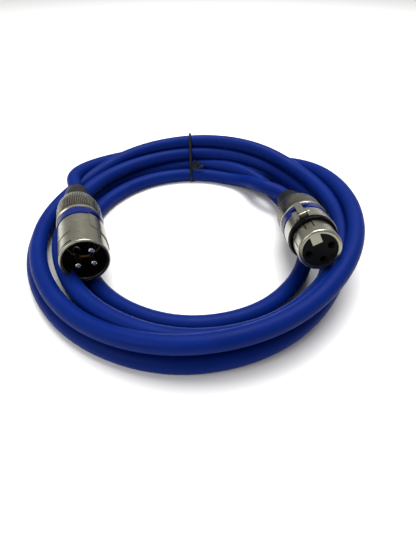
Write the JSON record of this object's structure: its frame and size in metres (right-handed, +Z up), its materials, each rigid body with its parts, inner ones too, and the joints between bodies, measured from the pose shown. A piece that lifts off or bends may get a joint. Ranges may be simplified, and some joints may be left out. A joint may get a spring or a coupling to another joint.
{
  "type": "xlr microphone cable",
  "caption": "Coiled blue microphone cable tied with wire, with a male and a latching female three-pin connector at its ends.",
  "frame": {"origin": "on the surface that the coil rests on, under the middle of the whole cable", "axes": "+Z up; the tie is on +Y, the mouths of both connectors point towards -Y, and the female connector is on +X"},
  "size_m": [0.1539, 0.1639, 0.0339],
  "materials": {
    "nickel": "satin nickel plate",
    "blue_ring": "satin",
    "black_plastic": "satin",
    "gloss_black": "gloss",
    "rubber": "matt",
    "blue_pvc": "satin blue jacket",
    "silver": "silver plate",
    "gold": "gold plate",
    "steel": "bright",
    "wire_insulation": "insulated conductors",
    "wire_tie": "coated wire"
  },
  "bodies": {
    "root": {"male_coding_ring": "blue_ring", "male_chuck": "black_plastic", "male_wires": "wire_insulation", "male_cable_end": "blue_pvc", "male_insert": "black_plastic", "male_contact_1": "silver", "male_contact_2": "silver", "male_contact_3": "silver", "female_coding_ring": "blue_ring", "female_chuck": "black_plastic", "female_wires": "wire_insulation", "female_cable_end": "blue_pvc", "female_insert": "black_plastic", "female_contact_1": "gold", "female_contact_2": "gold", "female_contact_3": "gold", "male_shell": "nickel", "female_housing": "nickel", "female_shoulder_ring": "gloss_black", "latch_pivot_pin": "steel", "latch_spring": "steel", "cable_coil": "blue_pvc", "cable_tie": "wire_tie"},
    "latch": {"latch_lever": "nickel"},
    "male_relief": {"male_boot": "rubber"},
    "male_sleeve": {"male_backshell": "nickel"},
    "female_relief": {"female_boot": "rubber"},
    "female_sleeve": {"female_backshell": "nickel"}
  },
  "joints": [
    {"name": "latch_press", "type": "hinge", "parent": "root", "child": "latch", "pos_m": [0.04573, -0.02653, 0.02986], "axis": [0.8918, 0.1074, 0.4395], "range_deg": [0, 5], "stiffness_Nm_per_rad": 0.25, "springref_deg": -2.86, "deforming": ["latch_spring"]},
    {"name": "male_boot_slide", "type": "slide", "parent": "root", "child": "male_relief", "axis": [-0.3227, 0.9426, -0.0854], "range_m": [0, 0.006]},
    {"name": "male_backshell_unscrew", "type": "hinge", "parent": "male_relief", "child": "male_sleeve", "pos_m": [-0.04984, -0.00662, 0.01544], "axis": [-0.3227, 0.9426, -0.0854], "range_deg": [0, 1441.5]},
    {"name": "female_boot_slide", "type": "slide", "parent": "root", "child": "female_relief", "axis": [0.0068, 0.9681, -0.2504], "range_m": [0, 0.006]},
    {"name": "female_backshell_unscrew", "type": "hinge", "parent": "female_relief", "child": "female_sleeve", "pos_m": [0.04984, -0.01004, 0.01749], "axis": [0.0068, 0.9681, -0.2504], "range_deg": [0, 1441.5]}
  ],
  "couplings": [
    {"joint": "male_backshell_unscrew", "follows": "male_boot_slide", "rad_per_m": 4188.8},
    {"joint": "female_backshell_unscrew", "follows": "female_boot_slide", "rad_per_m": 4188.8}
  ]
}
